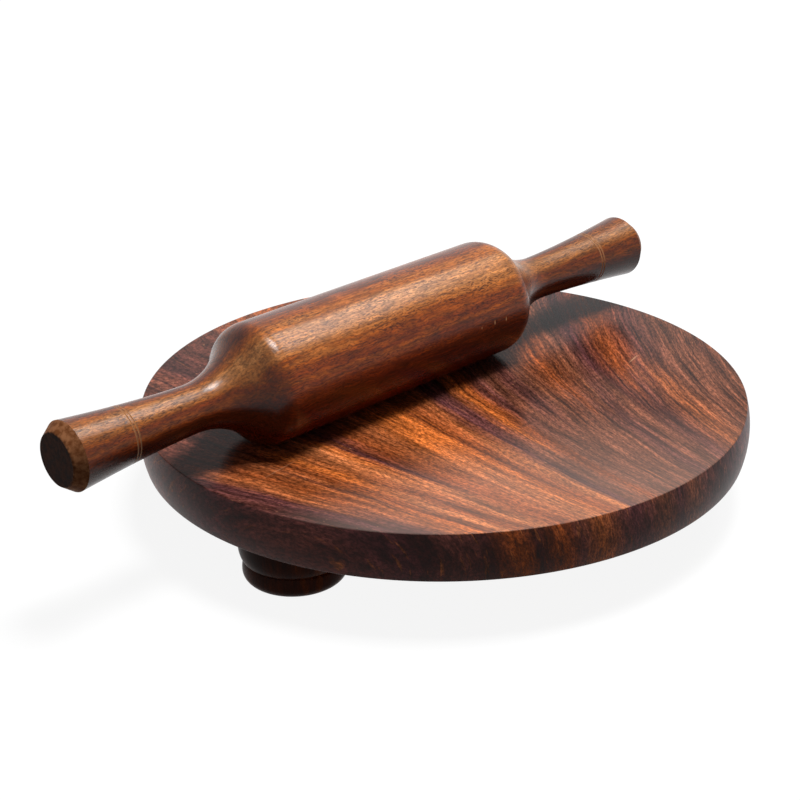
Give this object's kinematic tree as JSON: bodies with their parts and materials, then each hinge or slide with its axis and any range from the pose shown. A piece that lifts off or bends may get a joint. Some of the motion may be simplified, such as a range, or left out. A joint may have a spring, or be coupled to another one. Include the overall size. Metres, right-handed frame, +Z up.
{
  "type": "chakla rolling board with rolling pin",
  "caption": "Round wooden rolling board on turned feet for rolling out flat breads, with a one-piece rolling pin lying on it.",
  "frame": {"origin": "on the table plane, under the middle of the rolling pin's length and level with the board's axis in Y", "axes": "+X along the rolling pin's axis, from its left handle to its right one; +Z up, square to the board's top"},
  "size_m": [0.32, 0.258, 0.0941],
  "materials": {
    "board_wood": "polished",
    "foot_wood": "polished",
    "pin_wood": "polished",
    "screw_steel": "satin"
  },
  "bodies": {
    "board": {"board_disc": "board_wood", "foot_left": "foot_wood", "foot_front": "foot_wood", "foot_back": "foot_wood", "foot_screw_left": "screw_steel", "foot_screw_front": "screw_steel", "foot_screw_back": "screw_steel"},
    "rolling_pin": {"rolling_pin": "pin_wood"}
  },
  "joints": [
    {"name": "lift_off", "type": "slide", "parent": "board", "child": "rolling_pin", "axis": [0, 0, 1], "range_m": [0, 0.12]}
  ]
}
